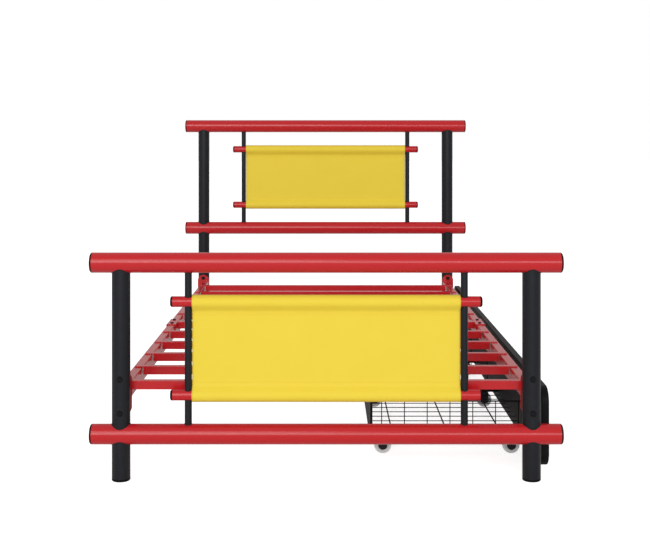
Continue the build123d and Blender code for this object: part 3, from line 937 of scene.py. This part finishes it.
# %% [markdown]
# The ribs repeat round the hub, so they are a Geometry Nodes tree: boxes on the points of a
# circle, each turned by its own share of the full turn. The tree lays them flat about Z, and
# its last node stands them up about the axle. They reach into the hub and into the tread.

# %% Set the ribs round the hub
RIB_COUNT = 6
RIB_LENGTH, RIB_MIDDLE = 0.42, 0.50   # along the radius, as shares of the wheel's
RIB_THICKNESS = 0.0016


def build_rib_tree():
    tree = bpy.data.node_groups.new("ribs round a hub", "GeometryNodeTree")
    given, result = sockets_of(tree, [("Count", "NodeSocketInt"), ("Middle", "NodeSocketFloat"),
                                      ("Rib", "NodeSocketVector"),
                                      ("Material", "NodeSocketMaterial")])
    circle = add_node(tree, "GeometryNodeMeshCircle",
                      {"Vertices": given.outputs["Count"], "Radius": given.outputs["Middle"]})
    box = add_node(tree, "GeometryNodeMeshCube", {"Size": given.outputs["Rib"]})
    index = add_node(tree, "GeometryNodeInputIndex")
    share = math_node(tree, "DIVIDE", 2 * math.pi, given.outputs["Count"])
    turn = math_node(tree, "MULTIPLY", index.outputs[0], share)
    angles = add_node(tree, "ShaderNodeCombineXYZ", {"Z": turn})
    ribs = add_node(tree, "GeometryNodeInstanceOnPoints",
                    {"Points": circle.outputs["Mesh"], "Instance": box.outputs["Mesh"],
                     "Rotation": angles.outputs[0]})
    upright = add_node(tree, "GeometryNodeTransform",
                       {"Geometry": ribs.outputs[0], "Rotation": (math.pi / 2, 0.0, 0.0)})
    end_tree(tree, upright.outputs[0], given, result)
    return tree


rib_tree = build_rib_tree()
rib_size = (wheel_radius * RIB_LENGTH, RIB_THICKNESS, 2 * wheel_half - RIB_THICKNESS)
ribs = run_tree("wheel_ribs", rib_tree, path_mesh("no_path", []),
                {"Count": RIB_COUNT, "Middle": wheel_radius * RIB_MIDDLE, "Rib": rib_size,
                 "Material": wheel_plastic})
ribs.polygons.foreach_set("use_smooth", [False] * len(ribs.polygons))
print(RIB_COUNT, "ribs,", len(ribs.polygons), "faces")

# %% [markdown]
# All eight wheels are the same moulding. A copy is moved in its mesh to the middle of its CAD
# node, so the piece's own origin stays where the frame's is, and it turns with its wheel.

# %% Fit the eight wheels
for drawer in ("drawer_1", "drawer_2"):
    for number in range(1, 5):
        node = f"{drawer}_wheel_{number}"
        low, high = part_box(node)
        mesh = joined(node, [ribs, round_part])
        mesh.transform(Matrix.Translation((low + high) / 2))
        wheel = place_piece(f"{node}_moulding", mesh, node)
        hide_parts(node)

# %% [markdown]
# ## The studio floor
# The bed stands on a wide plain white floor, far past what the camera sees. It must look white
# to the camera, and still take the bed's soft shadow. So it gives off light of its own, but
# only to camera rays and through glass, and a little to mirror rays. It lights nothing, and
# the lamps stay at a level where the paint keeps its own colour.

# %% Lay the floor
FLOOR_HALF = 30.0
SEEN_FLOOR = 0.72
MIRRORED_FLOOR = 0.10


def build_floor():
    mesh = bpy.data.meshes.new("floor")
    corners = [(x * FLOOR_HALF, y * FLOOR_HALF, 0) for x, y in ((-1, -1), (1, -1), (1, 1), (-1, 1))]
    mesh.from_pydata(corners, [], [(0, 1, 2, 3)])
    floor = bpy.data.objects.new("floor", mesh)
    bpy.context.scene.collection.objects.link(floor)
    material, tree, shader = new_material("white floor")
    shader.inputs["Base Color"].default_value = (0.82, 0.82, 0.82, 1)
    shader.inputs["Roughness"].default_value = 0.9
    shader.inputs["Specular IOR Level"].default_value = 0.1
    shader.inputs["Emission Color"].default_value = (1, 1, 1, 1)
    paths = add_node(tree, "ShaderNodeLightPath")
    seen = math_node(tree, "ADD", paths.outputs["Is Camera Ray"],
                     paths.outputs["Is Transmission Ray"], clamp=True)
    mirrored = math_node(tree, "MULTIPLY", paths.outputs["Is Glossy Ray"], MIRRORED_FLOOR)
    glow = math_node(tree, "MAXIMUM", math_node(tree, "MULTIPLY", seen, SEEN_FLOOR), mirrored)
    tree.links.new(glow, shader.inputs["Emission Strength"])
    floor.data.materials.append(material)
    return floor


print("floor:", build_floor().name, 2 * FLOOR_HALF, "m wide")

# %% [markdown]
# ## The world and the lamps
# The world is the soft light from all sides. The camera sees it at full white, mirrors see
# about three fifths of that, and the bed is lit by a little over half. One long lamp, far in
# front of the foot end, is mirrored in the round rails and draws the thin pink line along
# them. A square lamp on the left shapes the posts a little.

# %% Light the bed
WORLD_LIGHT = 0.56
WORLD_MIRRORED = 0.62


def build_world():
    world = bpy.data.worlds.new("studio")
    bpy.context.scene.world = world
    world.use_nodes = True
    tree = world.node_tree
    back = tree.nodes["Background"]
    back.inputs["Color"].default_value = (1, 1, 1, 1)
    paths = add_node(tree, "ShaderNodeLightPath")
    seen = math_node(tree, "MAXIMUM", paths.outputs["Is Camera Ray"],
                     paths.outputs["Is Transmission Ray"])
    mirrored = math_node(tree, "MULTIPLY", paths.outputs["Is Glossy Ray"], WORLD_MIRRORED)
    strongest = math_node(tree, "MAXIMUM", seen, mirrored)
    strength = math_node(tree, "MAXIMUM", strongest, WORLD_LIGHT)
    tree.links.new(strength, back.inputs["Strength"])


def add_lamp(name, place, aim, width, height, power):
    """A rectangular lamp that faces a point."""
    data = bpy.data.lights.new(name, "AREA")
    data.shape = "RECTANGLE"
    data.size = width
    data.size_y = height
    data.energy = power
    lamp = bpy.data.objects.new(name, data)
    bpy.context.scene.collection.objects.link(lamp)
    lamp.location = place
    lamp.rotation_euler = (Vector(aim) - Vector(place)).to_track_quat("-Z", "Y").to_euler()


build_world()
add_lamp("front_strip", (0.0, -20.0, 5.0), (0, 0, 0.35), width=19.0, height=2.2, power=1330.0)
add_lamp("soft_left", (-1.6, -8.0, 4.4), (0, 0, 0.4), width=3.4, height=3.4, power=130.0)
bpy.context.scene.view_settings.view_transform = "Standard"
print("world and", len(bpy.data.lights), "lamps ready")
